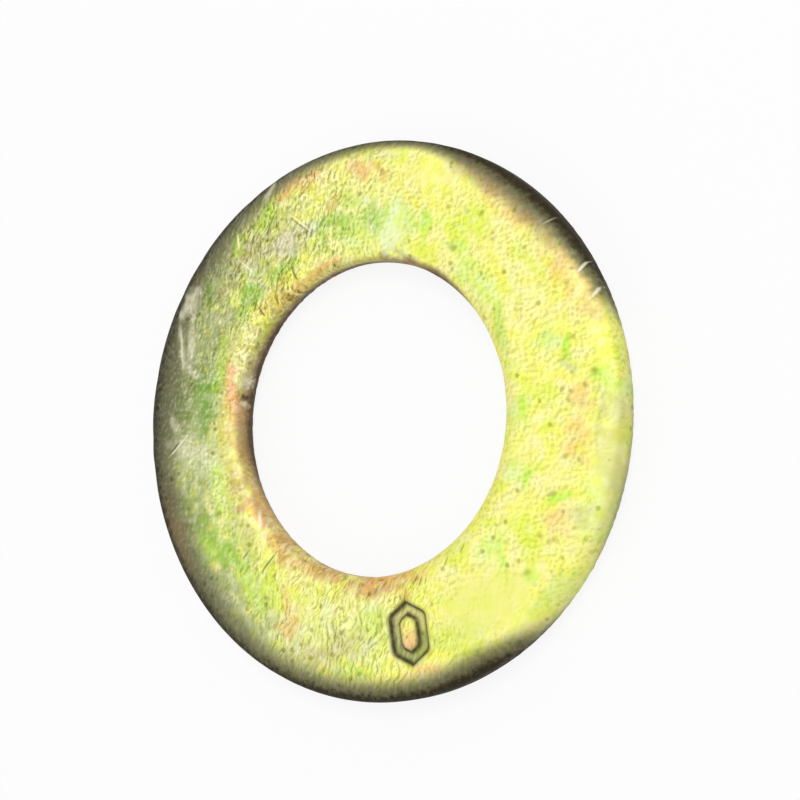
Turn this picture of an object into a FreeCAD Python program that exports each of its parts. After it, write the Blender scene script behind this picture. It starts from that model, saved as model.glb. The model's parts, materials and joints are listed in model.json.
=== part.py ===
import FreeCAD, Part
import math
import os

# Hardened flat washer, punched from steel plate, heat treated, tumbled and plated.
# Lengths are millimetres and angles are degrees.
# The bore's axis is Z, the underside lies on Z = 0, and the rolled side that carries the mark is up.
# Seen from above, X points right and Y points up the page.

# Ring, as sold for a 1 in (25.4 mm) bolt
outer_diameter = 50.8
bore_diameter = 28.58
thickness = 3.6

# Edges that the press tool leaves. On the upper side the plate is drawn over in a soft roll.
# Below the roll is a straight sheared band, and below that the wall is torn and steps back.
rim_roll_width = 2.2
rim_roll_depth = 1.4
rim_sheared_band = 1.1
rim_torn_step = 0.2
bore_roll_width = 2.0
bore_roll_depth = 1.3
bore_sheared_band = 1.2
bore_torn_step = 0.2

# Slope that tumbling wears where the torn walls meet the underside, as wide as it is high
underside_break = 0.4

# Struck mark: a sunk six-sided frame round a raised island, its long axis near the washer's radius.
# It is centred in the flat band between the two rolls.
mark_length = 5.8
mark_width = 3.9
mark_point_angle = 32.0
mark_stroke = 1.2
mark_depth = 0.35
mark_wall_run = 0.3
mark_corner_radius = 0.7
island_corner_radius = 0.3
mark_bearing = -75.0
mark_turn = -6.0

# How far the marking tool stands above the face that it cuts
tool_overlap = 0.1

# Worked out from the sizes above
outer_radius = outer_diameter / 2
bore_radius = bore_diameter / 2
flat_band_outer = outer_radius - rim_roll_width
flat_band_inner = bore_radius + bore_roll_width
mark_centre_radius = (flat_band_outer + flat_band_inner) / 2

up = FreeCAD.Vector(0, 0, 1)
centre = FreeCAD.Vector(0, 0, 0)


def section_point(radius, height):
    """A point of the washer's section, in the XZ plane."""
    return FreeCAD.Vector(radius, 0, height)


def arc_about(circle_centre, start, end):
    """The shorter arc from start to end about a centre that is as far from both."""
    radius = start.distanceToPoint(circle_centre)
    toward_halfway = (start - circle_centre) + (end - circle_centre)
    halfway = circle_centre + toward_halfway.normalize() * radius
    return Part.Arc(start, halfway, end).toShape()


def drawn_roll(flat_end, wall_top, outward):
    """The roll from the flat band over to the sheared wall: a quarter of a four-centred oval.

    Its two arcs are tangent to the band, to the wall and to each other. They meet where the normal
    is square to the chord from end to end.
    """
    width = outward * (wall_top.x - flat_end.x)
    depth = flat_end.z - wall_top.z
    chord = math.hypot(width, depth)
    sine = depth / chord
    cosine = width / chord
    wide_radius = (width * cosine - depth * (1 - sine)) / (sine + cosine - 1)
    tight_radius = (depth * sine - width * (1 - cosine)) / (sine + cosine - 1)

    wide_centre = section_point(flat_end.x, flat_end.z - wide_radius)
    tight_centre = section_point(wall_top.x - outward * tight_radius, wall_top.z)
    meeting = wide_centre + section_point(outward * sine, cosine) * wide_radius
    return [
        arc_about(wide_centre, flat_end, meeting),
        arc_about(tight_centre, meeting, wall_top),
    ]


def punched_edge(wall_radius, outward, roll_width, roll_depth, sheared_band, torn_step):
    """One side of the section, from the flat band down to the underside, as a list of edges.

    outward is 1 on the rim, where the metal ends at a larger radius, and -1 in the bore.
    """
    band_top = thickness - roll_depth
    torn_radius = wall_radius - outward * torn_step

    flat_end = section_point(wall_radius - outward * roll_width, thickness)
    wall_top = section_point(wall_radius, band_top)
    wall_foot = section_point(wall_radius, band_top - sheared_band)
    torn_foot = section_point(torn_radius, underside_break)
    underside_end = section_point(torn_radius - outward * underside_break, 0)

    return drawn_roll(flat_end, wall_top, outward) + [
        Part.makeLine(wall_top, wall_foot),
        Part.makeLine(wall_foot, torn_foot),
        Part.makeLine(torn_foot, underside_end),
    ]


def edge_end(edges, height):
    """The point of a list of edges that lies on a face of the washer, at that height."""
    points = [vertex.Point for edge in edges for vertex in edge.Vertexes]
    return min(points, key=lambda point: abs(point.z - height))


def ring():
    """The washer with no mark: its section turned about the bore's axis."""
    rim = punched_edge(
        outer_radius, 1, rim_roll_width, rim_roll_depth, rim_sheared_band, rim_torn_step
    )
    bore = punched_edge(
        bore_radius, -1, bore_roll_width, bore_roll_depth, bore_sheared_band, bore_torn_step
    )
    flat_band = Part.makeLine(edge_end(bore, thickness), edge_end(rim, thickness))
    underside = Part.makeLine(edge_end(rim, 0), edge_end(bore, 0))
    section = Part.Wire(Part.__sortEdges__([flat_band, underside] + rim + bore))
    return Part.Face(section).revolve(centre, up, 360)


def rounded_outline(corners, radius):
    """A closed wire through the corners, each one rounded by an arc of that radius."""
    sides = []
    arcs = []
    for before, corner, after in zip(corners[-1:] + corners[:-1], corners, corners[1:] + corners[:1]):
        back = (before - corner).normalize()
        ahead = (after - corner).normalize()
        half_angle = back.getAngle(ahead) / 2
        inward = (back + ahead).normalize()
        start = corner + back * (radius / math.tan(half_angle))
        end = corner + ahead * (radius / math.tan(half_angle))
        middle = corner + inward * (radius / math.sin(half_angle) - radius)
        arcs.append((start, middle, end))
    for arc, next_arc in zip(arcs, arcs[1:] + arcs[:1]):
        sides.append(Part.Arc(*arc).toShape())
        sides.append(Part.makeLine(arc[2], next_arc[0]))
    return Part.Wire(sides)


def six_sided(inset, height, corner_radius):
    """The mark's six-sided outline, its sides moved in by inset, with its long axis on X."""
    point_angle = math.radians(mark_point_angle)
    side = mark_width / 2 - inset
    tip = mark_length / 2 - inset / math.cos(point_angle)
    shoulder = tip - side * math.tan(point_angle)
    corners = [
        FreeCAD.Vector(tip, 0, height),
        FreeCAD.Vector(shoulder, side, height),
        FreeCAD.Vector(-shoulder, side, height),
        FreeCAD.Vector(-tip, 0, height),
        FreeCAD.Vector(-shoulder, -side, height),
        FreeCAD.Vector(shoulder, -side, height),
    ]
    return rounded_outline(corners, corner_radius)


def marking_tool():
    """The die that sinks the mark: a frame whose outer and inner walls both lean to its foot."""
    lean = mark_wall_run / mark_depth
    frame_outlines = []
    island_outlines = []
    for height in (tool_overlap, -mark_depth):
        frame_outlines.append(six_sided(-lean * height, height, mark_corner_radius))
        island_outlines.append(six_sided(mark_stroke + lean * height, height, island_corner_radius))
    frame = Part.makeLoft(frame_outlines, True, True)
    island = Part.makeLoft(island_outlines, True, True)
    return frame.cut(island)


def washer():
    """The ring with its mark struck into the upper face."""
    tool = marking_tool()
    tool.rotate(centre, up, mark_turn)
    tool.translate(section_point(mark_centre_radius, thickness))
    tool.rotate(centre, up, mark_bearing)
    return ring().cut(tool)


os.makedirs("parts", exist_ok=True)
solid = washer().Solids[0]
solid.exportStep("parts/washer.step")
print("washer", round(solid.Volume, 2), "mm3, valid", solid.isValid(), "faces", len(solid.Faces))
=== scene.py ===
import json
import math
import random

import bmesh
import bpy
import numpy as np
from mathutils import Matrix, Vector, noise


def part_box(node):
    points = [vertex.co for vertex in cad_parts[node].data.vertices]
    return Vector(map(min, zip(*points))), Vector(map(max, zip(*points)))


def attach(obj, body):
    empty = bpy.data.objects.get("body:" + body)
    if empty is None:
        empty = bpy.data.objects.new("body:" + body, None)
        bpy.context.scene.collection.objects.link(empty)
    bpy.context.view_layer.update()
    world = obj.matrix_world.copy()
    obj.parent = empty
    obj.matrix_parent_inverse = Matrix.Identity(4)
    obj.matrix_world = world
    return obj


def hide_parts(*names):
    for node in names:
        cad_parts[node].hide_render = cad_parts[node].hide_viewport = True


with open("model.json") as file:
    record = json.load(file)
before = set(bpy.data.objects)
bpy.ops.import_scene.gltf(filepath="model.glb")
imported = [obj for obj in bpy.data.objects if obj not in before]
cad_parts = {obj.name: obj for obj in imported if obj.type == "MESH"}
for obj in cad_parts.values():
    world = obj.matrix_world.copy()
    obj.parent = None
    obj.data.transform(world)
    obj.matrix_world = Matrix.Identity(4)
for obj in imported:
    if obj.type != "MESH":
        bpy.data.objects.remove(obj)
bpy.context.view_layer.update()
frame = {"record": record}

# Hardened flat washer, punched from steel plate, tumbled and plated with yellow-passivated zinc.
# Sizes are millimetres in the washer's own frame, bearings are degrees from +X towards +Y,
# and MM turns millimetres into Blender's metres.
MM = 0.001

# Sizes from the frame
low_corner, high_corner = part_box("washer")
mounts = {mount["name"]: mount for mount in frame["record"]["mounts"]}
outer_radius = (high_corner.x - low_corner.x) / 2 / MM
thickness = high_corner.z / MM
bore_radius = mounts["bore"]["dims"]["r_mm"]

# Section of the punched edges, as in the solid
rim_edge = {"roll_width": 2.2, "roll_depth": 1.4, "sheared_band": 1.1, "torn_step": 0.2}
bore_edge = {"roll_width": 2.0, "roll_depth": 1.3, "sheared_band": 1.2, "torn_step": 0.2}
underside_break = 0.4
flat_band_outer = outer_radius - rim_edge["roll_width"]
flat_band_inner = bore_radius + bore_edge["roll_width"]

# Struck mark, as in the solid
mark_length = 5.8
mark_width = 3.9
mark_point_angle = 32.0
mark_stroke = 1.2
mark_depth = 0.35
mark_wall_run = 0.3
mark_corner_softness = 0.35
mark_bearing = -75.0
mark_turn = -6.0
mark_radius = (flat_band_outer + flat_band_inner) / 2

# Mesh: columns round the axis, the distance between rings, how far the section's corners are worn
# round, and how often and how far round it the struck mark's faces are cut finer
columns = 720
face_pitch = 0.165
wall_pitch = 0.2
underside_pitch = 0.55
corner_softness = 0.07
mark_cuts = 2
mark_margin = 0.3

# Wear in the surface: waves, pits, dents from the tumbling barrel, gouges and torn walls
wave_depth = 0.03
wave_size = 6.0
pit_depth = 0.018
pit_size = 1.1
dent_count = 260
dent_size = (0.3, 1.1)
dent_slope = 0.045
gouge_depth = 0.09
gouge_spread = 1.6
gouge_reach = 1.5
tear_depth = 0.09
tear_size = 0.45
tear_stretch = 0.15

# Where pits and dents fade out before the struck mark, as insets from its outline
mark_clearing = (-0.6, 0.2)

# Stains: how far their edges wander, over what distance, what share of that the wear's edges wander,
# how ragged all of them are, up to what height the underside has its own, and how far in radians
# those are turned from the face's
stain_wander = 0.8
stain_wander_size = 2.2
wear_wander = 0.3
stain_raggedness = 1.2
underside_height = 0.3
underside_turn = 0.9

# Grain: granules and strokes each millimetre, where a second look at their height is taken to find
# their sides that get painted shade and painted highlight, and how they come in patches
granule_scale = 2.5
granule_aside = (0.3, -0.3, 0)
stroke_scale = (1.25, 2.8, 1.25)
stroke_aside = (0.05, -0.4, 0)
stroke_bearing = 68
stroke_bend = 1.6
scuff_scale = (0.5, 4.5, 1.0)
scuff_bearings = (63, -42)
patch_size = 2.0
patch_strength = (0.65, 1.25)
bump_depth = 0.12

# Widths of the dark lines along the struck mark's outer and inner walls, which are painted shade in the
# walls with dirt
mark_line_widths = (0.24, 0.22)

# Gloss: the least and most roughness, and how metallic and how specular the passivate is on the face
# and in the dark edges
roughness_range = (0.5, 0.66)
metallic_range = (0.55, 0.0)
specular_range = (0.5, 0.05)

# Colours, as red, green and blue from 0 to 255
lemon = (243, 242, 127)
pale_lemon = (244, 240, 150)
straw = (233, 233, 126)
chartreuse = (226, 240, 84)
lime = (196, 226, 90)
leaf = (160, 204, 78)
bright_leaf = (202, 238, 88)
grass = (128, 168, 64)
fern = (148, 170, 88)
mint = (220, 240, 142)
pale_green = (234, 240, 160)
khaki_green = (208, 210, 132)
tan = (198, 178, 122)
bleached_tint = (244, 244, 198)
rich_tint = (246, 248, 150)
willow = (202, 210, 134)
celadon = (206, 214, 160)
sage = (166, 175, 124)
moss = (132, 146, 82)
khaki = (200, 192, 136)
cream = (250, 242, 178)
# Haze, also used for one painted highlight on the rim
haze_and_highlight = (228, 223, 194)
ochre = (228, 210, 104)
peach = (246, 214, 132)
orange = (238, 186, 118)
salmon = (238, 182, 134)
rosy_tan = (218, 172, 114)
umber = (150, 124, 88)
# The next four darken the rim and the bore, partly the passivate's own darker edges and partly painted
# shade and dark reflection. The first also colours dark scratches and the painted shadows beside two pale
# ones, and the second colours a dark crack
shade_and_scratch_bronze = (104, 101, 73)
rim_shade_and_crack_dark = (54, 47, 31)
bore_shade_brown = (140, 112, 80)
bore_shade_dark = (98, 80, 56)
frost = (238, 244, 208)

# Tints that the grain multiplies with or adds, as painted shade and painted highlight on its sides (the
# pale one also whitens the scuffs), and the lines of the struck mark, which are painted shade with dirt
grain_shade_tint = (196, 197, 158)
grain_highlight_and_scuff_tint = (78, 78, 76)
mottle_dark = (226, 224, 206)
speck_dark = (208, 206, 176)
mark_line_shade_and_dirt = (66, 54, 34)

# Stains in the passivate: colour, centre X and Y, half length, half width, bearing of the length, strength
stains = [
    # Broad shades of the left half
    (willow, -19.0, 0.0, 21.0, 8.0, 90, 0.9),
    (willow, -11.0, -18.0, 10.0, 4.5, 150, 0.85),
    (willow, -13.0, 16.0, 9.0, 5.0, 40, 0.85),
    (sage, -20.6, 2.0, 16.0, 4.4, 92, 0.9),
    (sage, -18.4, -11.0, 9.0, 3.2, 118, 0.7),
    (pale_green, -1.0, 18.4, 8.0, 4.6, 0, 0.65),
    (pale_green, -3.0, -19.0, 9.0, 4.0, -5, 0.8),
    (khaki_green, -14.6, 3.0, 10.0, 2.6, 92, 0.8),
    (cream, -14.2, 4.8, 2.2, 1.2, 80, 0.8),
    # Upper left
    (sage, -19.0, 7.5, 8.0, 4.0, 78, 0.8),
    (moss, -22.0, 3.0, 6.0, 2.4, 88, 0.7),
    (sage, -15.5, 14.5, 6.0, 3.4, 45, 0.8),
    (moss, -21.4, 1.6, 3.6, 2.0, 90, 0.6),
    (moss, -19.6, 4.2, 4.4, 1.3, 86, 0.45),
    (leaf, -17.5, 12.6, 2.2, 1.0, 110, 0.7),
    (leaf, -13.0, 11.4, 2.8, 1.6, 70, 0.75),
    (khaki, -15.6, 12.8, 1.6, 1.0, 40, 0.7),
    (moss, -17.4, 12.2, 1.5, 1.0, 40, 0.6),
    (sage, -15.8, 10.3, 2.0, 1.1, 10, 0.7),
    (khaki, -13.0, 16.2, 3.4, 2.0, 35, 0.75),
    (lime, -14.0, 17.3, 1.5, 0.7, 78, 0.9),
    (lime, -10.6, 19.6, 2.0, 0.9, 40, 0.9),
    (khaki, -8.6, 17.0, 2.6, 1.8, 10, 0.9),
    (leaf, -9.0, 14.3, 3.2, 1.2, 30, 0.7),
    (ochre, -10.0, 11.6, 3.4, 1.1, 50, 0.8),
    (orange, -8.0, 12.2, 3.0, 0.5, 42, 0.7),
    (orange, -4.4, 14.0, 3.0, 0.5, 20, 0.7),
    (cream, -13.2, 8.0, 3.0, 1.0, 62, 0.8),
    (grass, -17.8, 2.2, 4.6, 1.7, 88, 0.85),
    (lime, -16.2, 5.5, 3.6, 1.2, 80, 0.6),
    (ochre, -15.5, 0.6, 5.0, 0.8, 90, 0.6),
    (salmon, -14.8, 2.6, 4.2, 1.0, 95, 0.9),
    (rosy_tan, -13.9, -3.0, 4.0, 0.8, 100, 0.85),
    # Top
    (pale_lemon, 2.0, 21.0, 8.0, 2.6, -5, 0.6),
    (mint, 1.0, 17.2, 8.0, 2.4, -4, 0.75),
    (leaf, -3.2, 17.8, 3.0, 1.6, 5, 0.6),
    (leaf, -4.4, 16.0, 2.0, 0.9, 10, 0.45),
    (leaf, 1.4, 17.6, 1.3, 1.8, 0, 0.75),
    (mint, 4.2, 17.4, 2.8, 2.0, -10, 0.85),
    (bright_leaf, 6.8, 16.6, 1.5, 0.7, 92, 0.85),
    (lime, -1.0, 20.0, 2.6, 1.0, 0, 0.6),
    (cream, -3.6, 22.6, 1.4, 1.3, 0, 0.7),
    (peach, -5.8, 22.0, 1.7, 0.8, 20, 0.7),
    (orange, -8.0, 21.7, 1.9, 0.8, 30, 0.75),
    (orange, -5.4, 22.8, 1.7, 0.7, 20, 0.75),
    (orange, 0.0, 22.9, 1.9, 1.0, -5, 0.75),
    (orange, 2.4, 22.0, 1.0, 0.7, 0, 0.5),
    (orange, -2.9, 19.7, 1.4, 0.6, 50, 0.5),
    (umber, 2.2, 14.5, 0.7, 0.3, -8, 0.6),
    (khaki, 4.9, 14.2, 1.7, 0.5, -18, 0.9),
    (umber, 4.9, 14.1, 1.0, 0.25, -18, 0.7),
    # Upper right
    (chartreuse, 11.2, 16.4, 2.6, 2.0, 0, 0.8),
    (bright_leaf, 10.6, 14.4, 1.5, 0.6, -5, 0.7),
    (mint, 12.2, 11.4, 3.6, 1.7, -55, 0.85),
    (lime, 14.6, 7.0, 2.8, 0.8, -78, 0.8),
    (salmon, 10.8, 21.8, 1.8, 0.9, -40, 0.6),
    (tan, 13.6, 19.6, 4.0, 0.8, -38, 0.85),
    (tan, 19.4, 13.8, 4.6, 0.9, -54, 0.9),
    (tan, 22.6, 8.4, 2.6, 0.7, -70, 0.8),
    (peach, 14.6, 18.2, 4.6, 1.3, -45, 0.9),
    (peach, 20.6, 11.4, 4.4, 1.9, -58, 0.85),
    (mint, 18.8, 5.6, 1.6, 1.2, 0, 0.85),
    (bright_leaf, 20.4, 5.1, 1.3, 0.6, 90, 0.95),
    (chartreuse, 24.2, 4.2, 1.8, 1.4, 80, 0.7),
    (bright_leaf, 23.6, 2.8, 1.2, 0.6, -20, 0.7),
    (mint, 25.0, 1.4, 1.8, 1.0, -20, 0.85),
    (peach, 22.0, 0.8, 1.9, 1.3, -50, 0.8),
    # Lower right
    (mint, 15.9, -0.5, 1.7, 1.2, 90, 0.8),
    (bright_leaf, 16.9, -0.3, 1.3, 0.5, 90, 0.8),
    (mint, 15.6, -5.0, 1.8, 1.2, 90, 0.8),
    (bright_leaf, 16.6, -5.5, 1.3, 0.5, 90, 0.8),
    (bright_leaf, 19.6, -7.3, 1.2, 0.5, -10, 0.85),
    (peach, 21.2, -2.6, 2.2, 1.3, 100, 0.8),
    (peach, 20.0, -9.4, 1.7, 1.2, -40, 0.7),
    (mint, 22.8, -8.2, 2.8, 1.9, 80, 0.6),
    (khaki_green, 24.2, -4.2, 5.0, 1.3, 94, 0.7),
    (khaki, 20.8, 3.6, 1.3, 0.5, -10, 0.8),
    (lime, 24.0, 2.2, 1.7, 0.7, -25, 0.8),
    (lime, 20.6, 3.9, 1.3, 0.6, 0, 0.6),
    (khaki_green, 24.5, -0.4, 2.2, 1.3, 90, 0.8),
    (khaki_green, 21.8, -8.9, 1.4, 1.0, 0, 0.7),
    (chartreuse, 17.2, -11.6, 2.6, 1.6, 80, 0.7),
    (mint, 12.8, -11.8, 2.4, 0.9, 35, 0.8),
    (bright_leaf, 14.1, -12.4, 1.4, 0.5, 100, 0.8),
    (bright_leaf, 17.4, -13.8, 1.2, 0.6, -10, 0.85),
    (lime, 9.4, -19.0, 4.2, 1.6, 10, 0.5),
    # Bottom
    (rosy_tan, 1.6, -15.2, 4.0, 1.1, 0, 0.9),
    (orange, 3.0, -14.2, 4.4, 0.8, 4, 0.9),
    (khaki, -1.6, -20.2, 3.0, 1.6, 0, 0.7),
    (lime, 1.4, -18.2, 1.4, 2.4, 0, 0.5),
    (lime, -1.0, -22.6, 3.4, 1.0, 0, 0.6),
    (peach, 6.6, -22.4, 2.8, 0.9, 12, 0.8),
    # Lower left
    (celadon, -19.0, -3.0, 4.4, 2.3, -12, 0.8),
    (mint, -16.2, -6.0, 4.2, 1.3, -74, 0.8),
    (fern, -18.6, -9.6, 4.8, 2.0, -62, 0.8),
    (lime, -16.8, -12.2, 2.6, 1.5, -50, 0.7),
    (ochre, -14.8, -4.8, 3.4, 1.2, -76, 0.6),
    (umber, -21.6, -8.2, 4.6, 1.2, -72, 0.7),
    (leaf, -16.0, -11.0, 3.4, 1.6, -58, 0.6),
    (rosy_tan, -11.9, -7.6, 2.8, 1.3, -62, 0.9),
    (rosy_tan, -9.0, -11.1, 3.4, 1.4, -42, 0.9),
    (rosy_tan, -4.6, -13.6, 3.6, 1.1, -16, 0.9),
    (khaki_green, -13.4, -10.4, 3.4, 1.3, -58, 0.7),
    (lime, -12.2, -15.2, 3.4, 1.8, -48, 0.8),
    (chartreuse, -9.2, -16.0, 2.4, 1.4, -60, 0.8),
    (sage, -16.6, -14.8, 3.4, 1.3, -46, 0.8),
    (fern, -16.0, -13.0, 1.5, 0.8, -45, 0.6),
    (sage, -13.6, -16.2, 1.5, 1.0, -30, 0.7),
    (leaf, -15.4, -12.9, 2.8, 1.0, 0, 0.7),
    (leaf, -12.4, -13.2, 2.2, 1.2, 20, 0.4),
    (sage, -10.4, -18.6, 1.6, 1.0, 0, 0.5),
    (rosy_tan, -13.4, -7.8, 1.0, 0.8, 0, 0.7),
    (tan, -14.2, -6.0, 3.2, 0.9, -68, 0.75),
    (sage, -13.4, -18.2, 4.4, 1.5, -36, 0.75),
    (peach, -7.2, -17.6, 1.4, 1.2, -5, 0.5),
    (orange, -7.6, -19.0, 1.8, 0.8, -5, 0.7),
    (peach, -7.8, -16.4, 1.6, 0.7, -80, 0.6),
    (khaki, -5.4, -21.2, 4.0, 1.3, -14, 0.7),
    (pale_lemon, -3.2, -17.2, 3.6, 1.3, 0, 0.8),
]

# Haze and wear, with brown tints in the rim's painted shade and one painted highlight on the rim, which lie
# over the stains and the dark edges and under the grain: the same columns
wear_and_painted_light_places = [
    (haze_and_highlight, -20.0, 12.0, 2.0, 1.1, 60, 0.7),
    (haze_and_highlight, -20.9, 7.8, 3.0, 0.4, 96, 0.7),
    (haze_and_highlight, -19.6, 8.6, 3.2, 0.6, 84, 0.65),
    (haze_and_highlight, -19.4, 5.2, 1.6, 0.5, -40, 0.6),
    (haze_and_highlight, -21.5, 0.2, 1.6, 0.6, 120, 0.5),
    (haze_and_highlight, -18.8, -2.6, 3.6, 1.1, -14, 0.5),
    (haze_and_highlight, -12.7, 3.6, 1.6, 0.4, 110, 0.7),
    # Brown tints in the inner part of the rim's painted shade
    (umber, 17.9, 15.0, 4.2, 0.8, -50, 0.4),
    (umber, 12.5, 19.7, 4.2, 0.8, -33, 0.4),
    (umber, -21.2, -10.4, 4.6, 1.0, -64, 0.45),
    (haze_and_highlight, -8.4, 16.9, 2.8, 1.7, 40, 0.7),
    (frost, -5.9, 18.0, 1.3, 0.8, 0, 0.5),
    (frost, -12.6, 14.8, 1.6, 0.8, 40, 0.4),
    # A painted highlight on the top of the rim
    (haze_and_highlight, 2.4, 23.7, 2.6, 0.5, -6, 0.4),
    (haze_and_highlight, -5.4, 17.6, 1.3, 0.7, 60, 0.55),
    (frost, 3.1, 17.5, 2.3, 0.5, 59, 0.6),
    (frost, 1.1, 17.5, 1.8, 0.25, 90, 0.55),
    (frost, 3.4, 15.9, 1.7, 1.0, 30, 0.6),
    (frost, 0.4, 19.8, 0.9, 0.5, -40, 0.5),
    (haze_and_highlight, -10.6, 21.6, 1.6, 0.5, 62, 0.6),
    (haze_and_highlight, -11.6, 13.2, 1.4, 0.4, -50, 0.4),
    (straw, 12.0, -16.4, 7.0, 2.8, 20, 0.75),
    (frost, -3.6, -17.6, 1.6, 0.8, 60, 0.4),
    (frost, 0.6, -20.6, 1.8, 0.7, 50, 0.4),
    (frost, -6.6, -20.4, 1.6, 0.7, 70, 0.35),
    (frost, 1.2, -16.8, 1.2, 0.7, 40, 0.4),
    (lime, 19.2, -15.4, 3.4, 1.2, 38, 0.45),
    (cream, 8.1, 15.8, 1.1, 0.8, 30, 0.6),
    (cream, 21.8, 4.3, 1.0, 0.7, 30, 0.6),
    (cream, 17.9, -0.8, 1.0, 0.7, 30, 0.6),
    (cream, 17.6, -6.0, 1.0, 0.7, 30, 0.6),
    (cream, 15.4, -12.5, 1.0, 0.7, 30, 0.6),
]

# Olive specks: the same columns without the colour
specks = [
    (19.0, -7.2, 0.5, 0.3, 20, 1.0),
    (11.1, 17.5, 0.4, 0.3, 0, 1.0),
    (9.7, 14.4, 0.5, 0.3, -20, 1.0),
    (23.0, 2.9, 0.6, 0.3, -30, 1.0),
    (16.7, -13.7, 0.4, 0.4, 0, 1.0),
    (12.5, 17.1, 0.4, 0.25, 60, 1.0),
    (18.0, -10.7, 0.35, 0.3, 0, 1.0),
    (20.7, 0.5, 0.4, 0.2, -50, 1.0),
    (20.3, -4.2, 0.4, 0.3, 0, 1.0),
    (21.6, -4.5, 0.4, 0.2, -60, 1.0),
    (22.0, 0.2, 0.5, 0.2, -10, 1.0),
    (20.6, 10.2, 0.35, 0.25, 30, 1.0),
    (2.4, 22.1, 0.35, 0.3, 0, 0.8),
    (1.5, 16.8, 0.4, 0.2, 70, 0.8),
    (19.3, -11.0, 0.35, 0.2, 0, 0.8),
    (18.7, 7.8, 0.4, 0.2, 40, 0.8),
]

# Places where the grain is rubbed smooth, in the columns of the specks
smooth_places = [
    (12.5, -16.8, 7.0, 3.0, 15, 0.9),
    (24.4, -6.5, 8.0, 2.2, 87, 0.9),
    (8.0, 21.2, 3.6, 1.8, -15, 0.8),
    (3.4, 16.4, 2.4, 1.6, 40, 0.6),
]

# Scratches, and the painted shadows beside two pale ones: colour, both ends' X and Y, half width, strength
scratches_and_shadows = [
    (cream, -14.2, 18.2, -14.0, 16.6, 0.16, 0.8),
    (cream, -13.9, 15.6, -11.9, 14.0, 0.12, 0.7),
    (cream, -8.0, 19.4, -5.6, 17.6, 0.13, 0.8),
    (haze_and_highlight, -21.1, 9.6, -20.8, 5.4, 0.13, 0.7),
    (haze_and_highlight, -22.4, -2.9, -20.0, -0.8, 0.14, 0.9),
    (haze_and_highlight, -12.0, -7.8, -11.2, -10.8, 0.16, 0.8),
    (haze_and_highlight, -11.1, -9.0, -10.6, -11.3, 0.14, 0.7),
    (haze_and_highlight, -13.3, 5.0, -13.9, 3.0, 0.45, 1.0),
    (rim_shade_and_crack_dark, -13.9, 3.0, -14.1, 2.2, 0.3, 1.0),
    (haze_and_highlight, -14.0, 2.3, -14.2, 1.5, 0.3, 0.9),
    (haze_and_highlight, 18.3, 15.5, 19.4, 16.1, 0.12, 0.35),
    (haze_and_highlight, 21.4, 11.0, 22.3, 12.25, 0.17, 0.85),
    (haze_and_highlight, 22.6, 8.75, 23.4, 10.0, 0.17, 0.85),
    (shade_and_scratch_bronze, -9.6, 20.0, -11.0, 17.4, 0.12, 0.7),
    # A painted shadow below the pale scratch that runs from -8.0, 19.4
    (shade_and_scratch_bronze, -8.0, 19.1, -5.7, 17.4, 0.09, 0.6),
    (shade_and_scratch_bronze, -7.9, 14.8, -7.3, 13.1, 0.14, 0.75),
    (shade_and_scratch_bronze, -11.7, 11.1, -11.0, 9.9, 0.14, 0.75),
    (shade_and_scratch_bronze, -11.1, -14.1, -9.3, -12.0, 0.12, 0.7),
    (shade_and_scratch_bronze, -13.4, -12.9, -12.4, -11.9, 0.1, 0.6),
    # A painted shadow below the pale scratch that runs from -22.4, -2.9
    (shade_and_scratch_bronze, -22.6, -2.8, -21.0, -1.4, 0.12, 0.8),
    (shade_and_scratch_bronze, -6.4, 17.4, -6.0, 15.4, 0.1, 0.5),
    (shade_and_scratch_bronze, 5.5, -15.0, 5.9, -14.0, 0.1, 0.6),
    (shade_and_scratch_bronze, 6.1, -15.1, 6.4, -14.2, 0.1, 0.6),
    (shade_and_scratch_bronze, 6.7, -14.9, 6.9, -14.2, 0.08, 0.5),
    (shade_and_scratch_bronze, 8.6, -13.4, 9.0, -12.4, 0.1, 0.5),
    (shade_and_scratch_bronze, 10.2, -12.2, 10.7, -11.2, 0.1, 0.5),
]

# Darker edges, partly the passivate's own and partly painted shade and dark reflection on the rolls and
# walls:
# bearing, how far in from the wall it starts, how far down the wall it is full, and how dark it gets
rim_shade = [
    (0, 1.0, 1.6, 0.35),
    (14, 0.7, 1.6, 0.3),
    (22, 1.3, 0.4, 0.8),
    (30, 1.7, 0.0, 0.95),
    (38, 2.3, 0.0, 1.0),
    (46, 3.1, 0.0, 1.0),
    (56, 2.8, 0.0, 1.0),
    (66, 2.0, 0.0, 1.0),
    (76, 1.2, 0.0, 0.9),
    (90, 1.6, 0.0, 0.9),
    (105, 2.4, 0.0, 0.9),
    (120, 3.4, 0.0, 0.95),
    (135, 4.4, 0.0, 1.0),
    (150, 4.8, 0.0, 1.0),
    (165, 5.9, 0.0, 1.0),
    (180, 5.8, 0.0, 1.0),
    (195, 5.2, 0.0, 1.0),
    (210, 5.2, 0.0, 1.0),
    (225, 4.3, 0.0, 1.0),
    (240, 3.8, 0.0, 0.95),
    (255, 3.2, 0.0, 1.0),
    (270, 3.0, 0.0, 1.0),
    (285, 2.6, 0.0, 1.0),
    (300, 2.9, 0.0, 1.0),
    (309, 1.9, 0.3, 0.8),
    (316, 1.1, 1.0, 0.5),
    (324, 0.6, 1.6, 0.3),
    (338, 1.1, 1.3, 0.45),
]
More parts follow.
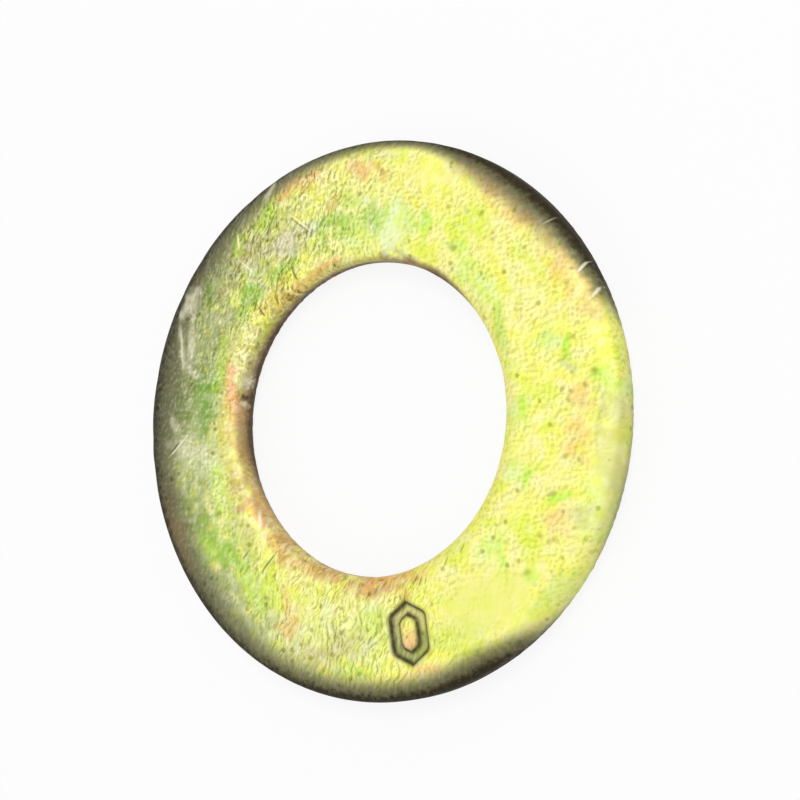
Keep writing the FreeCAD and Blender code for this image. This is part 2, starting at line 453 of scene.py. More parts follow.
# The bore's darker edge with painted shade and dark reflection, in the same columns
bore_shade = [
    (0, 0.2, 0.6, 0.4),
    (35, 0.3, 0.4, 0.5),
    (46, 0.7, 0.2, 0.9),
    (58, 1.0, 0.0, 1.0),
    (68, 0.8, 0.2, 0.8),
    (90, 0.4, 0.4, 0.7),
    (120, 0.3, 1.1, 0.8),
    (145, 0.5, 1.0, 0.9),
    (160, 0.6, 1.2, 1.0),
    (190, 0.6, 1.2, 1.0),
    (205, 0.2, 1.4, 0.6),
    (220, 0.1, 1.8, 0.4),
    (250, 0.1, 1.8, 0.4),
    (270, 0.2, 1.0, 0.7),
    (300, 0.5, 0.8, 0.7),
    (325, 0.3, 0.8, 0.5),
]

# By bearing: how strong the grain is, how scuffed, how far its granules are drawn out to strokes,
# and how far pale flecks of painted highlight take the place of painted shade in hollows
grain_strength = [
    (0, 0.34, 0.0, 0.0, 0.0),
    (60, 0.4, 0.0, 0.1, 0.0),
    (80, 0.5, 0.1, 0.3, 0.1),
    (92, 0.9, 0.5, 0.6, 0.3),
    (108, 1.5, 1.0, 0.7, 0.6),
    (130, 2.0, 1.6, 0.8, 0.8),
    (155, 1.6, 1.1, 0.6, 1.0),
    (170, 1.2, 0.6, 0.4, 1.2),
    (190, 0.9, 0.2, 0.4, 1.0),
    (220, 0.7, 0.1, 0.6, 0.4),
    (265, 0.8, 0.3, 1.0, 0.1),
    (285, 0.8, 0.3, 1.0, 0.1),
    (298, 0.5, 0.0, 0.6, 0.0),
    (310, 0.3, 0.0, 0.2, 0.0),
    (325, 0.32, 0.0, 0.0, 0.0),
]

def radians(*angles):
    """Angles in degrees as radians, as one number or as a tuple."""
    turned = tuple(math.radians(angle) for angle in angles)
    return turned[0] if len(turned) == 1 else turned


def linear(colour, alpha=1.0):
    """A colour from 0 to 255 as Blender's linear values."""
    shares = [part / 255 for part in colour]
    curve = [part / 12.92 if part <= 0.04045 else ((part + 0.055) / 1.055) ** 2.4 for part in shares]
    return (*curve, alpha)


def smooth_step(start, end, value):
    """0 up to the start and 1 from the end on, with a smooth rise between."""
    share = np.clip((value - start) / (end - start), 0, 1)
    return share * share * (3 - 2 * share)


def noise_field(points, feature_size, seed):
    """Smooth noise, mostly from 0 to 1, with features of about that size. Each seed gives another."""
    apart = Vector((17.3, 31.7, 7.9)) * seed
    return np.array([0.5 + 0.5 * noise.noise(Vector(point) / feature_size + apart) for point in points])


# Section

def roll_points(wall_radius, outward, edge):
    """The roll from the flat band to the sheared wall: a quarter of a four-centred oval."""
    width = edge["roll_width"]
    depth = edge["roll_depth"]
    chord = math.hypot(width, depth)
    sine = depth / chord
    cosine = width / chord
    wide_radius = (width * cosine - depth * (1 - sine)) / (sine + cosine - 1)
    tight_radius = (depth * sine - width * (1 - cosine)) / (sine + cosine - 1)
    meeting = math.asin(sine)
    flat_end = wall_radius - outward * width
    band_top = thickness - depth
    points = []
    for angle in np.linspace(0, meeting, 12):
        reach = wide_radius * math.sin(angle)
        points.append((flat_end + outward * reach, thickness - wide_radius * (1 - math.cos(angle))))
    for angle in np.linspace(meeting, math.pi / 2, 12)[1:]:
        setback = tight_radius * (1 - math.sin(angle))
        points.append((wall_radius - outward * setback, band_top + tight_radius * math.cos(angle)))
    return points


def edge_points(wall_radius, outward, edge):
    """One side of the section, from the flat band down to the underside."""
    torn_radius = wall_radius - outward * edge["torn_step"]
    band_foot = thickness - edge["roll_depth"] - edge["sheared_band"]
    return roll_points(wall_radius, outward, edge) + [
        (wall_radius, band_foot),
        (torn_radius, underside_break),
        (torn_radius - outward * underside_break, 0.0),
    ]


def walked(loop, pitch):
    """Points at even steps of about pitch along a closed line."""
    closed = np.vstack([loop, loop[:1]])
    lengths = np.r_[0, np.cumsum(np.linalg.norm(np.diff(closed, axis=0), axis=1))]
    steps = np.linspace(0, lengths[-1], int(lengths[-1] / pitch), endpoint=False)
    return np.column_stack([np.interp(steps, lengths, closed[:, axis]) for axis in (0, 1)])


def section_rings():
    """The section's rings as (radius, height), its corners worn round and its spacing as set above."""
    rim = edge_points(outer_radius, 1, rim_edge)
    bore = edge_points(bore_radius, -1, bore_edge)
    fine_pitch = 0.01
    fine = walked(np.array(rim + bore[::-1]), fine_pitch)

    reach = int(3 * corner_softness / fine_pitch)
    offsets = np.arange(-reach, reach + 1)
    weights = np.exp(-0.5 * (offsets * fine_pitch / corner_softness) ** 2)
    weights /= weights.sum()
    worn = sum(weight * np.roll(fine, offset, axis=0) for weight, offset in zip(weights, offsets))

    spacing = np.interp(
        worn[:, 1],
        [0.0, underside_break, thickness - rim_edge["roll_depth"], thickness],
        [underside_pitch, wall_pitch, wall_pitch, face_pitch],
    )
    travelled = np.cumsum(fine_pitch / spacing)
    marks = np.linspace(0, travelled[-1], int(travelled[-1]), endpoint=False)
    return worn[np.searchsorted(travelled, marks)]


# Surface

def mark_frame(x, y):
    """Places on the face as (along, across) the struck mark, from its centre."""
    axis = radians(mark_bearing + mark_turn)
    centre_x = mark_radius * math.cos(radians(mark_bearing))
    centre_y = mark_radius * math.sin(radians(mark_bearing))
    along = (x - centre_x) * math.cos(axis) + (y - centre_y) * math.sin(axis)
    across = (y - centre_y) * math.cos(axis) - (x - centre_x) * math.sin(axis)
    return along, across


def mark_inset(x, y):
    """How far inside the mark's six-sided outline each place is."""
    along, across = np.abs(mark_frame(x, y))
    point_angle = radians(mark_point_angle)
    from_side = mark_width / 2 - across
    tip = mark_length / 2 * math.cos(point_angle)
    from_point = tip - along * math.cos(point_angle) - across * math.sin(point_angle)
    # A smooth minimum of the two rounds the corners
    blend = np.clip(0.5 + (from_point - from_side) / (2 * mark_corner_softness), 0, 1)
    nearer = from_point * (1 - blend) + from_side * blend
    return nearer - mark_corner_softness * blend * (1 - blend)


def mark_channel(x, y):
    """1 on the floor of the mark's sunk frame, 0 on the face and the island, and between on its walls."""
    inset = mark_inset(x, y)
    outer_wall = smooth_step(0, mark_wall_run, inset)
    inner_wall = smooth_step(mark_stroke - mark_wall_run, mark_stroke, inset)
    return outer_wall - inner_wall


def mark_lines(x, y):
    """1 along the two walls of the mark's sunk frame, where painted shade and dirt darken them, and less
    beside them.
    """
    inset = mark_inset(x, y)
    outer_width, inner_width = mark_line_widths
    outer_line = np.exp(-(((inset - mark_wall_run / 2) / outer_width) ** 2))
    inner_line = np.exp(-(((inset - mark_stroke + mark_wall_run / 2) / inner_width) ** 2))
    return np.maximum(outer_line, inner_line)


def on_face(z):
    """1 on the upper face, and less down its edges."""
    return smooth_step(thickness - 0.3, thickness - 0.1, z)


def tumbled_dents(points):
    """Depth of the small random dents that washers knock into each other in the tumbling barrel."""
    draw = random.Random(11)
    depth = np.zeros(len(points))
    for _ in range(dent_count):
        bearing = draw.uniform(0, 2 * math.pi)
        radius = draw.uniform(bore_radius, outer_radius)
        size = draw.uniform(*dent_size)
        centre = np.array([radius * math.cos(bearing), radius * math.sin(bearing), thickness])
        distance = np.linalg.norm((points - centre) * (1, 1, 0.5), axis=1) / size
        depth += dent_slope * size * np.exp(-distance**2)
    return depth


def gouges(points):
    """Depth of the grooves that lie under the scratches."""
    depth = np.zeros(len(points))
    for _, start_x, start_y, end_x, end_y, half_width, strength in scratches_and_shadows:
        start = np.array([start_x, start_y])
        along = np.array([end_x, end_y]) - start
        share = np.clip((points[:, :2] - start) @ along / (along @ along), 0, 1)
        off_line = np.linalg.norm(points[:, :2] - start - share[:, None] * along, axis=1)
        taper = np.sqrt(1 - (2 * share - 1) ** 2)
        spread = gouge_spread * half_width
        depth += gouge_depth * strength * taper * np.exp(-((off_line / spread) ** 2))
    return depth * (points[:, 2] > thickness - gouge_reach)


def build_washer():
    """The washer's mesh: the worn section turned about Z, refined at the mark, then dented and struck."""
    rings = section_rings()
    turns = np.linspace(0, 2 * math.pi, columns, endpoint=False)
    radius = rings[:, 0][None, :]
    height = np.broadcast_to(rings[:, 1][None, :], (columns, len(rings)))
    grid = np.stack([radius * np.cos(turns)[:, None], radius * np.sin(turns)[:, None], height], axis=2)

    count = len(rings)
    column = np.arange(columns)[:, None]
    ring = np.arange(count)[None, :]
    next_column = (column + 1) % columns
    next_ring = (ring + 1) % count
    corners = [column * count + ring, column * count + next_ring]
    corners += [next_column * count + next_ring, next_column * count + ring]
    faces = np.stack(corners, axis=2).reshape(-1, 4)

    mesh = bpy.data.meshes.new("washer_plated")
    mesh.from_pydata((grid.reshape(-1, 3) * MM).tolist(), [], faces.tolist())
    refine_mark(mesh)
    points = shape_surface(mesh)
    paint(mesh, points)
    store_strengths(mesh, points)
    mesh.shade_smooth()
    return mesh


def refine_mark(mesh):
    """Cuts the faces round the struck mark finer, so that its walls come out clean."""
    grid = bmesh.new()
    grid.from_mesh(mesh)
    bmesh.ops.recalc_face_normals(grid, faces=grid.faces)
    near = []
    for face in grid.faces:
        middle = face.calc_center_median() / MM
        if middle.z > thickness - 0.01 and mark_inset(middle.x, middle.y) > -mark_margin:
            near.append(face)
    edges = list({edge for face in near for edge in face.edges})
    bmesh.ops.subdivide_edges(grid, edges=edges, cuts=mark_cuts, use_grid_fill=True)
    grid.to_mesh(mesh)
    grid.free()


def shape_surface(mesh):
    """Moves each vertex into the metal by the depth of all that was pressed, torn or struck there.

    It returns the vertices' places from before that move, in millimetres.
    """
    size = len(mesh.vertices)
    flat = np.empty(size * 3, np.float32)
    mesh.vertices.foreach_get("co", flat)
    points = flat.reshape(-1, 3).astype(float) / MM
    normal_values = np.empty(size * 3, np.float32)
    mesh.vertex_normals.foreach_get("vector", normal_values)
    normals = normal_values.reshape(-1, 3).astype(float)
    x, y, z = points.T

    away_from_mark = 1 - smooth_step(*mark_clearing, mark_inset(x, y)) * on_face(z)
    sunk = wave_depth * noise_field(points, wave_size, 1)
    sunk += pit_depth * noise_field(points, pit_size, 2) * away_from_mark
    sunk += tumbled_dents(points) * away_from_mark
    sunk += gouges(points)
    sunk += mark_depth * mark_channel(x, y) * on_face(z)

    torn_top = thickness - rim_edge["roll_depth"] - rim_edge["sheared_band"]
    torn = smooth_step(torn_top + 0.15, torn_top - 0.2, z) * smooth_step(0.0, 0.25, z)
    sunk += tear_depth * torn * noise_field(points * (1, 1, tear_stretch), tear_size, 3)

    moved = (points - normals * sunk[:, None]) * MM
    mesh.vertices.foreach_set("co", moved.astype(np.float32).ravel())
    mesh.update()
    return points


# Painting by vertex

def mixed(colours, over, cover):
    """The colours with another over them, by its cover from 0 to 1."""
    return colours * (1 - cover[:, None]) + np.array(over) * cover[:, None]


def multiplied(colours, tint, cover):
    """The colours multiplied by a tint, by its cover from 0 to 1."""
    return colours * (1 - cover[:, None] * (1 - np.array(tint)))


def stain_cover(points, ragged, x, y, half_length, half_width, bearing, strength):
    """How far one stain covers each point, from 0 to 1. Its edge is ragged."""
    turn = radians(bearing)
    along = (points[:, 0] - x) * math.cos(turn) + (points[:, 1] - y) * math.sin(turn)
    across = (points[:, 1] - y) * math.cos(turn) - (points[:, 0] - x) * math.sin(turn)
    inside = smooth_step(1.6, 0.0, np.hypot(along / half_length, across / half_width))
    return strength * smooth_step(0.15, 1.0, inside + ragged * np.minimum(1, 4 * inside))


def stain_colours(points, wandering, ragged):
    """The passivate's colours: its ground, its stains, its specks, and paler and richer spots all over."""
    colours = np.tile(linear(lemon), (len(points), 1))
    colours = mixed(colours, linear(pale_lemon), smooth_step(0.4, 0.6, noise_field(points, 2.6, 6)))
    green = 0.6 * smooth_step(0.56, 0.72, noise_field(points, 2.2, 7))
    colours = mixed(colours, linear(chartreuse), green)
    for stain in stains:
        colours = mixed(colours, linear(stain[0]), stain_cover(wandering, ragged, *stain[1:]))
    for speck in specks:
        colours = multiplied(colours, linear(speck_dark), stain_cover(points, ragged, *speck))

    spots = noise_field(points, 0.9, 8)
    colours = mixed(colours, linear(bleached_tint), 0.25 * smooth_step(0.52, 0.72, spots))
    return multiplied(colours, linear(rich_tint), 0.4 * smooth_step(0.48, 0.28, spots))


def with_mark(colours, points):
    """The mark's channel is grey at its inner end and olive at its outer end, and its island turns rosy."""
    x, y, z = points.T
    along, _ = mark_frame(x, y)
    outer_end = smooth_step(-1.4, 1.2, along)
    channel = 0.7 * mark_channel(x, y) * on_face(z)
    island = 0.8 * smooth_step(mark_stroke - 0.1, mark_stroke + 0.1, mark_inset(x, y)) * on_face(z)
    for cover, inner_tint, outer_tint in ((channel, khaki, moss), (island, lemon, salmon)):
        tint = mixed(np.array([linear(inner_tint)]), linear(outer_tint), outer_end)
        colours = mixed(colours, tint, cover)
    return colours


def wear_and_painted_light_colours(points, ragged):
    """The colours of the haze and wear, with the brown tints of painted shade and a painted highlight among
    them, and their cover in the alpha value.
    """
    colours = np.tile(linear(haze_and_highlight, 0.0), (len(points), 1))
    for place in wear_and_painted_light_places:
        cover = stain_cover(points, ragged, *place[1:])
        colours[:, 3] = 1 - (1 - colours[:, 3]) * (1 - cover)
        share = cover / np.maximum(colours[:, 3], 0.001)
        colours[:, :3] = mixed(colours[:, :3], linear(place[0])[:3], share)
    return colours


def by_bearing(bearing, table, column):
    """One column of a table, between its rows by bearing."""
    rows = sorted((row[0], row[column]) for row in table)
    return np.interp(bearing, [row[0] for row in rows], [row[1] for row in rows], period=360)


def edge_shade(x, y, z, table, wall_radius, outward):
    """Darkness at one edge, from the table that gives it by bearing: the passivate's own darker edge with
    painted shade and dark reflection, growing down the wall.
    """
    bearing = np.degrees(np.arctan2(y, x))
    start = by_bearing(bearing, table, 1)
    full = by_bearing(bearing, table, 2)
    dark = by_bearing(bearing, table, 3)
    inward = np.clip(outward * (wall_radius - np.hypot(x, y)), 0, None)
    down_wall = np.clip(thickness - rim_edge["roll_depth"] - z, 0, None) * (inward < 0.7)
    return dark * np.clip((start - inward + down_wall) / (start + full), 0, 1)


def grain_patches(points):
    """Factor on the grain's strength: it comes in patches, and some places are rubbed smooth."""
    weakest, strongest = patch_strength
    factor = weakest + (strongest - weakest) * smooth_step(0.3, 0.7, noise_field(points, patch_size, 9))
    ragged = noise_field(points, 1.6, 10) - 0.5
    for place in smooth_places:
        factor *= 1 - stain_cover(points, ragged, *place)
    return factor


def paint(mesh, points):
    """Stores the passivate's stains, and the wear, with some painted shade and a painted highlight, that
    lies over its dark edges, as colours by vertex.
    """
    # The underside has the same stains at other places
    turned_over = points * (-1, -1, 1) @ np.array(Matrix.Rotation(underside_turn, 3, "Z"))
    points = np.where(points[:, 2:] < underside_height, turned_over, points)
    wander = [2 * noise_field(points, stain_wander_size, seed) - 1 for seed in (11, 12, 13)]
    wander = stain_wander * np.column_stack(wander)
    fine = noise_field(points, 0.75, 4) - 0.5
    broad = noise_field(points, 1.6, 5) - 0.5
    ragged = stain_raggedness * (0.65 * fine + 0.35 * broad)
    for name, colours in (
        ("stains", with_mark(stain_colours(points, points + wander, ragged), points)),
        ("wear_and_painted_light", wear_and_painted_light_colours(points + wear_wander * wander, ragged)),
    ):
        attribute = mesh.attributes.new(name, "FLOAT_COLOR", "POINT")
        attribute.data.foreach_set("color", colours.astype(np.float32).ravel())


def store_strengths(mesh, points):
    """Stores by vertex how strong each effect of the material is."""
    x, y, z = points.T
    bearing = np.degrees(np.arctan2(y, x))
    for name, values in (
        ("mark_line", mark_lines(x, y) * on_face(z)),
        ("grain_strength", by_bearing(bearing, grain_strength, 1) * grain_patches(points)),
        ("stroked", by_bearing(bearing, grain_strength, 3)),
        ("scuffing", by_bearing(bearing, grain_strength, 2)),
        ("highlight_flecks", by_bearing(bearing, grain_strength, 4)),
        ("rim_shade", edge_shade(x, y, z, rim_shade, outer_radius, 1)),
        ("bore_shade", edge_shade(x, y, z, bore_shade, bore_radius, -1)),
    ):
        attribute = mesh.attributes.new(name, "FLOAT", "POINT")
        attribute.data.foreach_set("value", values.astype(np.float32))


# Shader nodes

class Wiring:
    """Makes nodes in one tree. A value that is a socket is linked, and any other is set."""

    def __init__(self, tree):
        self.tree = tree

    def add(self, kind, inputs, **settings):
        """A node with its settings made first, as some of them decide which sockets it has."""
        node = self.tree.nodes.new(kind)
        for name, value in settings.items():
            setattr(node, name, value)
        for key, value in inputs.items():
            self.feed(node.inputs[key], value)
        return node

    def feed(self, socket, value):
        if isinstance(value, bpy.types.NodeSocket):
            self.tree.links.new(value, socket)
        else:
            socket.default_value = value

    def math(self, operation, first, second=0.0):
        return self.add("ShaderNodeMath", {0: first, 1: second}, operation=operation).outputs[0]

    def vector(self, operation, first, second=(0, 0, 0)):
        node = self.add("ShaderNodeVectorMath", {0: first, 1: second}, operation=operation)
        return node.outputs["Value" if operation == "LENGTH" else "Vector"]

    def scaled(self, vector, factor):
        return self.vector("MULTIPLY", vector, (factor, factor, factor))

    def ramp(self, value, start, end, low=0.0, high=1.0):
        """From low at the start to high at the end, with a smooth rise or fall between."""
        inputs = {"Value": value, 1: start, 2: end, 3: low, 4: high}
        return self.add("ShaderNodeMapRange", inputs, interpolation_type="SMOOTHSTEP").outputs[0]

    def between(self, share, first, second):
        """The value that lies that share of the way from the first to the second."""
        return self.add("ShaderNodeMix", {0: share, 2: first, 3: second}, data_type="FLOAT").outputs[0]

    def mix(self, factor, under, over, blend="MIX"):
        """One colour laid over another by the factor. Inputs 6 and 7 are the node's two colours."""
        inputs = {0: factor, 6: under, 7: over}
        return self.add("ShaderNodeMix", inputs, data_type="RGBA", blend_type=blend).outputs[2]

    def noise(self, point, scale, detail=2.0, roughness=0.5):
        inputs = {"Vector": point, "Scale": scale, "Detail": detail, "Roughness": roughness}
        return self.add("ShaderNodeTexNoise", inputs).outputs

    def attribute(self, name):
        return self.add("ShaderNodeAttribute", {}, attribute_name=name).outputs


def scratch_group():
    """A node group that lays one thin oval of colour over what is there."""
    group = bpy.data.node_groups.new("scratch", "ShaderNodeTree")
    for name, kind in (
        ("Under", "NodeSocketColor"),
        ("Over", "NodeSocketColor"),
        ("Point", "NodeSocketVector"),
        ("Ragged", "NodeSocketFloat"),
        ("Place", "NodeSocketVector"),
        ("Turn", "NodeSocketVector"),
        ("Size", "NodeSocketVector"),
        ("Strength", "NodeSocketFloat"),
    ):
        group.interface.new_socket(name, in_out="INPUT", socket_type=kind)
    group.interface.new_socket("Colour", in_out="OUTPUT", socket_type="NodeSocketColor")
    wires = Wiring(group)
    given = group.nodes.new("NodeGroupInput").outputs
    inputs = {"Vector": given["Point"], "Location": given["Place"]}
    inputs.update({"Rotation": given["Turn"], "Scale": given["Size"]})
    local = wires.add("ShaderNodeMapping", inputs, vector_type="TEXTURE").outputs[0]
    off_centre = wires.math("ADD", wires.vector("LENGTH", local), given["Ragged"])
    factor = wires.math("MULTIPLY", wires.ramp(off_centre, 1.2, 0.5), given["Strength"])
    result = wires.mix(factor, given["Under"], given["Over"])
    wires.add("NodeGroupOutput", {"Colour": result})
    return group


def scratched(wires, colour, point, ragged):
    """The colour with all the scratches on it, and the painted shadows beside two of them."""
    group = scratch_group()
    for over, start_x, start_y, end_x, end_y, half_width, strength in scratches_and_shadows:
        length = math.hypot(end_x - start_x, end_y - start_y)
        inputs = {
            "Under": colour,
            "Over": linear(over),
            "Point": point,
            "Ragged": ragged,
            "Place": ((start_x + end_x) / 2, (start_y + end_y) / 2, thickness),
            "Turn": (0, 0, math.atan2(end_y - start_y, end_x - start_x)),
            "Size": (length / 2, half_width, 2.5),
            "Strength": strength,
        }
        colour = wires.add("ShaderNodeGroup", inputs, node_tree=group).outputs["Colour"]
    return colour


def turned(wires, point, bearing):
    """The point in axes whose X runs along a bearing."""
    inputs = {"Vector": point, "Rotation": (0, 0, -radians(bearing))}
    return wires.add("ShaderNodeMapping", inputs).outputs[0]


def scuff(wires, point, bearing):
    """Thin straight pale strokes that all run near one bearing."""
    elsewhere = wires.vector("ADD", point, (7 * bearing, 0, 0))
    stretched = wires.vector("MULTIPLY", turned(wires, elsewhere, bearing), scuff_scale)
    return wires.ramp(wires.noise(stretched, 1.0, 1.0)["Fac"], 0.62, 0.74)


def stroke_space(wires, point):
    """Axes in which round noise comes out as short strokes near one bearing."""
    cloud = wires.noise(point, 0.45, 1.0)["Color"]
    wander = wires.vector("SUBTRACT", cloud, (0.5, 0.5, 0.5))
    bent = wires.vector("ADD", point, wires.scaled(wander, stroke_bend))
    return wires.vector("MULTIPLY", turned(wires, bent, stroke_bearing), stroke_scale)


def sided_relief(wires, point, aside, detail):
    """How much higher the grain is here than a little aside, and its height here."""
    here = wires.noise(point, 1.0, detail, 0.55)["Fac"]
    beside = wires.noise(wires.vector("ADD", point, aside), 1.0, detail, 0.55)["Fac"]
    return wires.math("SUBTRACT", here, beside), here


def grain_relief(wires, point):
    """The grain's relief and height: granules on the right that draw out to strokes on the left."""
    granules = sided_relief(wires, wires.scaled(point, granule_scale), granule_aside, 0.6)
    strokes = sided_relief(wires, stroke_space(wires, point), stroke_aside, 2.0)
    stroked = wires.attribute("stroked")["Fac"]
    return [wires.between(stroked, granule, stroke) for granule, stroke in zip(granules, strokes)]


def with_dark_edges(wires, colour, ragged):
    """The colour with the darker rim and bore over it, partly the passivate's own and partly painted shade
    and dark reflection, and how dark that is.
    """
    shades = []
    uneven = wires.math("ADD", wires.math("MULTIPLY", ragged, 0.45), 1.0)
    for name, tint, darkest in (("rim_shade", shade_and_scratch_bronze, rim_shade_and_crack_dark), ("bore_shade", bore_shade_brown, bore_shade_dark)):
        shade = wires.math("MULTIPLY", wires.attribute(name)["Fac"], uneven)
        tinted = wires.math("MULTIPLY", wires.ramp(shade, 0.02, 0.6), 0.9)
        colour = wires.mix(tinted, colour, linear(tint))
        colour = wires.mix(wires.ramp(shade, 0.5, 0.9), colour, linear(darkest))
        shades.append(shade)
    return colour, wires.math("MAXIMUM", *shades)


def grained(wires, colour, point, relief, clouds, coarse, edge):
    """The colour with the grain: painted shade on the low side of each granule or stroke and painted
    highlight on the high side, as if lit from one side, with pale scuffs and mottling.
    """
    scuffs = [scuff(wires, point, bearing) for bearing in scuff_bearings]
    scuffed = wires.math("MULTIPLY", wires.math("MAXIMUM", *scuffs), wires.attribute("scuffing")["Fac"])
    highlight_flecks = wires.attribute("highlight_flecks")["Fac"]

    # Painted shade on the low side of the grain, and more of it where the grain is strongest
    dark = wires.math("MULTIPLY", wires.ramp(relief, 0.02, -0.18), coarse)
    dark = wires.math("MULTIPLY", dark, wires.ramp(highlight_flecks, 0.0, 1.0, 1.0, 0.4))
    deeper_grain_shade = wires.math("MULTIPLY", dark, wires.ramp(coarse, 1.0, 2.0, 0.0, 0.6))
    # Painted highlight on the high side of the grain, and the pale scuffs
    pale = wires.math("MULTIPLY", wires.ramp(relief, -0.02, 0.18), coarse)
    pale = wires.math("ADD", pale, scuffed)
    # Painted highlight flecks on the highest sides, fewer in the dark edges
    fleck_highlight = wires.math("MULTIPLY", wires.ramp(relief, 0.04, 0.2), highlight_flecks)
    fleck_highlight = wires.math("MULTIPLY", fleck_highlight, wires.ramp(edge, 0.3, 0.9, 1.0, 0.3))
    mottled = wires.math("MULTIPLY", wires.ramp(clouds, 0.55, 0.35), coarse)
    for factor, tint, blend in (
        (dark, grain_shade_tint, "MULTIPLY"),
        (deeper_grain_shade, grain_shade_tint, "MULTIPLY"),
        (pale, grain_highlight_and_scuff_tint, "ADD"),
        (fleck_highlight, grain_highlight_and_scuff_tint, "ADD"),
        (mottled, mottle_dark, "MULTIPLY"),
    ):
        colour = wires.mix(factor, colour, linear(tint), blend)
    return colour


def speckled(wires, colour, point, ragged):
    """The colour with small dark specks, one in some of the cells of a net."""
    elsewhere = wires.vector("ADD", point, (3, 5, 7))
    cells = wires.add("ShaderNodeTexVoronoi", {"Vector": elsewhere, "Scale": 0.95}).outputs
    drawn = wires.add("ShaderNodeSeparateColor", {0: cells["Color"]}).outputs[0]
    chosen = wires.ramp(drawn, 0.62, 0.66)
    off_centre = wires.math("ADD", cells["Distance"], wires.math("MULTIPLY", ragged, 0.25))
    speck = wires.math("MULTIPLY", wires.ramp(off_centre, 0.3, 0.1), chosen)
    return wires.mix(speck, colour, linear(speck_dark), "MULTIPLY")


def plated_material():
    """Yellow-passivated zinc: stained, dark at the edges with painted shade and reflection, worn, grained
    with painted shade and highlight, speckled and scratched.
    """
    material = bpy.data.materials.new("yellow_zinc")
    material.use_nodes = True
    shader = material.node_tree.nodes["Principled BSDF"]
    wires = Wiring(material.node_tree)
    point = wires.scaled(wires.add("ShaderNodeTexCoord", {}).outputs["Object"], 1 / MM)
    clouds = wires.noise(point, 1.7, 5.0, 0.68)["Fac"]
    ragged = wires.math("MULTIPLY", wires.math("SUBTRACT", clouds, 0.5), 1.5)

    # Darker rim and bore: partly the passivate's own, partly painted shade and dark reflection
    colour, edge = with_dark_edges(wires, wires.attribute("stains")["Color"], ragged)
    # Haze and wear, with some painted shade and a painted highlight
    wear_and_painted_light = wires.attribute("wear_and_painted_light")
    colour = wires.mix(wear_and_painted_light["Alpha"], colour, wear_and_painted_light["Color"])

    relief, height = grain_relief(wires, point)
    coarse = wires.attribute("grain_strength")["Fac"]
    coarse = wires.math("MULTIPLY", coarse, wires.ramp(edge, 0.1, 0.8, 1.0, 0.3))
    colour = grained(wires, colour, point, relief, clouds, coarse, edge)
    colour = speckled(wires, colour, point, ragged)

    # Painted shade and dirt along the walls of the struck mark
    mark_line = wires.attribute("mark_line")["Fac"]
    line = wires.math("MULTIPLY", mark_line, wires.ramp(clouds, 0.25, 0.6, 0.7, 0.95))
    colour = wires.mix(line, colour, linear(mark_line_shade_and_dirt))
    colour = scratched(wires, colour, point, wires.math("MULTIPLY", ragged, 0.9))

    stipple = wires.noise(wires.vector("ADD", point, (40, 0, 0)), 5.5, 2.0, 0.6)["Fac"]
    height = wires.math("ADD", wires.math("MULTIPLY", stipple, 0.15), height)
    strength = wires.ramp(coarse, 0.3, 1.0, 0.25, 0.55)
    inputs = {"Height": height, "Strength": strength, "Distance": bump_depth * MM}
    for name, value in (
        ("Normal", wires.add("ShaderNodeBump", inputs).outputs[0]),
        ("Base Color", colour),
        ("Roughness", wires.ramp(clouds, 0.3, 0.7, *roughness_range)),
        ("Metallic", wires.ramp(edge, 0.3, 0.9, *metallic_range)),
        ("Specular IOR Level", wires.ramp(edge, 0.3, 0.9, *specular_range)),
    ):
        wires.feed(shader.inputs[name], value)
    return material


# Stage, light and camera

# The floor's size in metres, how far it lies below the washer, how pale it is and how much of it glows
# for the camera, and the surround's strength as light
floor_size = 4.0
floor_gap = 0.02
floor_shade = 0.92
floor_glow = 0.88
surround_light = 0.54


def seen_directly(wires):
    """1 for rays from the camera, from gloss or through glass."""
    path = wires.add("ShaderNodeLightPath", {}).outputs
    either = wires.math("MAXIMUM", path["Is Camera Ray"], path["Is Glossy Ray"])
    return wires.math("MAXIMUM", either, path["Is Transmission Ray"])


def pale_floor():
    """A plain white floor under the washer, which keeps its shadow."""
    bpy.ops.mesh.primitive_plane_add(size=floor_size, location=(0, 0, -floor_gap * MM))
    floor = bpy.context.object
    floor.name = "floor"
    material = bpy.data.materials.new("floor_white")
    material.use_nodes = True
    nodes = material.node_tree.nodes
    wires = Wiring(material.node_tree)
    shader = nodes["Principled BSDF"]
    wires.feed(shader.inputs["Base Color"], (floor_shade, floor_shade, floor_shade, 1))
    wires.feed(shader.inputs["Roughness"], 0.9)
    glow = wires.add("ShaderNodeEmission", {"Color": (1, 1, 1, 1), "Strength": 1.0})
    share = wires.math("MULTIPLY", seen_directly(wires), floor_glow)
    both = wires.add("ShaderNodeMixShader", {0: share, 1: shader.outputs[0], 2: glow.outputs[0]})
    wires.feed(nodes["Material Output"].inputs["Surface"], both.outputs[0])
    floor.data.materials.append(material)


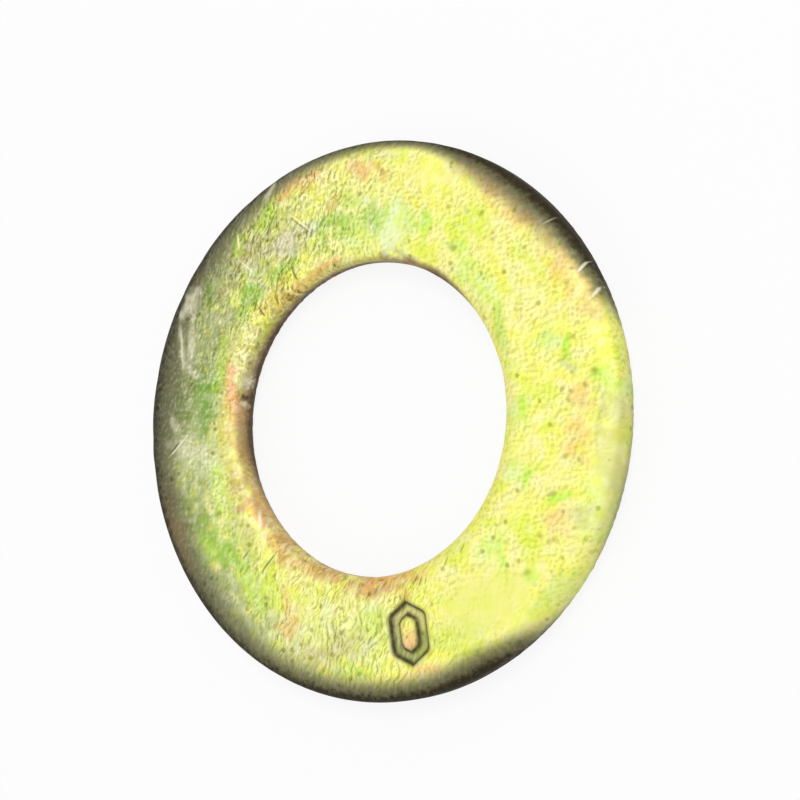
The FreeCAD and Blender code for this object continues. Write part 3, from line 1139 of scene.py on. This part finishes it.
def soft_light():
    """An even pale surround with one large soft lamp from the upper right and a weak one opposite."""
    world = bpy.data.worlds.new("surround")
    world.use_nodes = True
    bpy.context.scene.world = world
    world.node_tree.nodes.clear()
    wires = Wiring(world.node_tree)
    lit = wires.add("ShaderNodeBackground", {"Color": (1, 1, 1, 1), "Strength": surround_light}).outputs[0]
    white = wires.add("ShaderNodeBackground", {"Color": (1, 1, 1, 1), "Strength": 1.0}).outputs[0]
    both = wires.add("ShaderNodeMixShader", {0: seen_directly(wires), 1: lit, 2: white}).outputs[0]
    wires.add("ShaderNodeOutputWorld", {"Surface": both})

    for name, place, size, power in (
        ("key", (150, 200, 430), 240, 1.0),
        ("fill", (-300, -220, 300), 300, 0.25),
    ):
        lamp = bpy.data.lights.new(name, "AREA")
        lamp.shape = "DISK"
        lamp.size = size * MM
        lamp.energy = power
        holder = bpy.data.objects.new(name, lamp)
        holder.location = Vector(place) * MM
        holder.rotation_euler = (-holder.location).to_track_quat("-Z", "Y").to_euler()
        bpy.context.scene.collection.objects.link(holder)


# The camera's place was worked out from the outlines of the rim and the bore
camera_place = (76.63, -11.40, 118.06)
camera_target = (1.962, 1.712, 0.0)
camera_lens = 69.29


def add_camera():
    """The camera, with the washer's +Y up the picture."""
    data = bpy.data.cameras.new("camera")
    data.lens = camera_lens
    data.sensor_width = 36.0
    data.clip_start = 0.01
    camera = bpy.data.objects.new("camera", data)
    back = (Vector(camera_place) - Vector(camera_target)).normalized()
    right = Vector((0, 1, 0)).cross(back).normalized()
    rotation = Matrix((right, back.cross(right), back)).transposed()
    camera.matrix_world = Matrix.Translation(Vector(camera_place) * MM) @ rotation.to_4x4()
    bpy.context.scene.collection.objects.link(camera)
    bpy.context.scene.camera = camera


washer = bpy.data.objects.new("washer_plated", build_washer())
bpy.context.scene.collection.objects.link(washer)
washer.data.materials.append(plated_material())
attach(washer, "root")
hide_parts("washer")

pale_floor()
soft_light()
add_camera()
bpy.context.scene.view_settings.view_transform = "Standard"
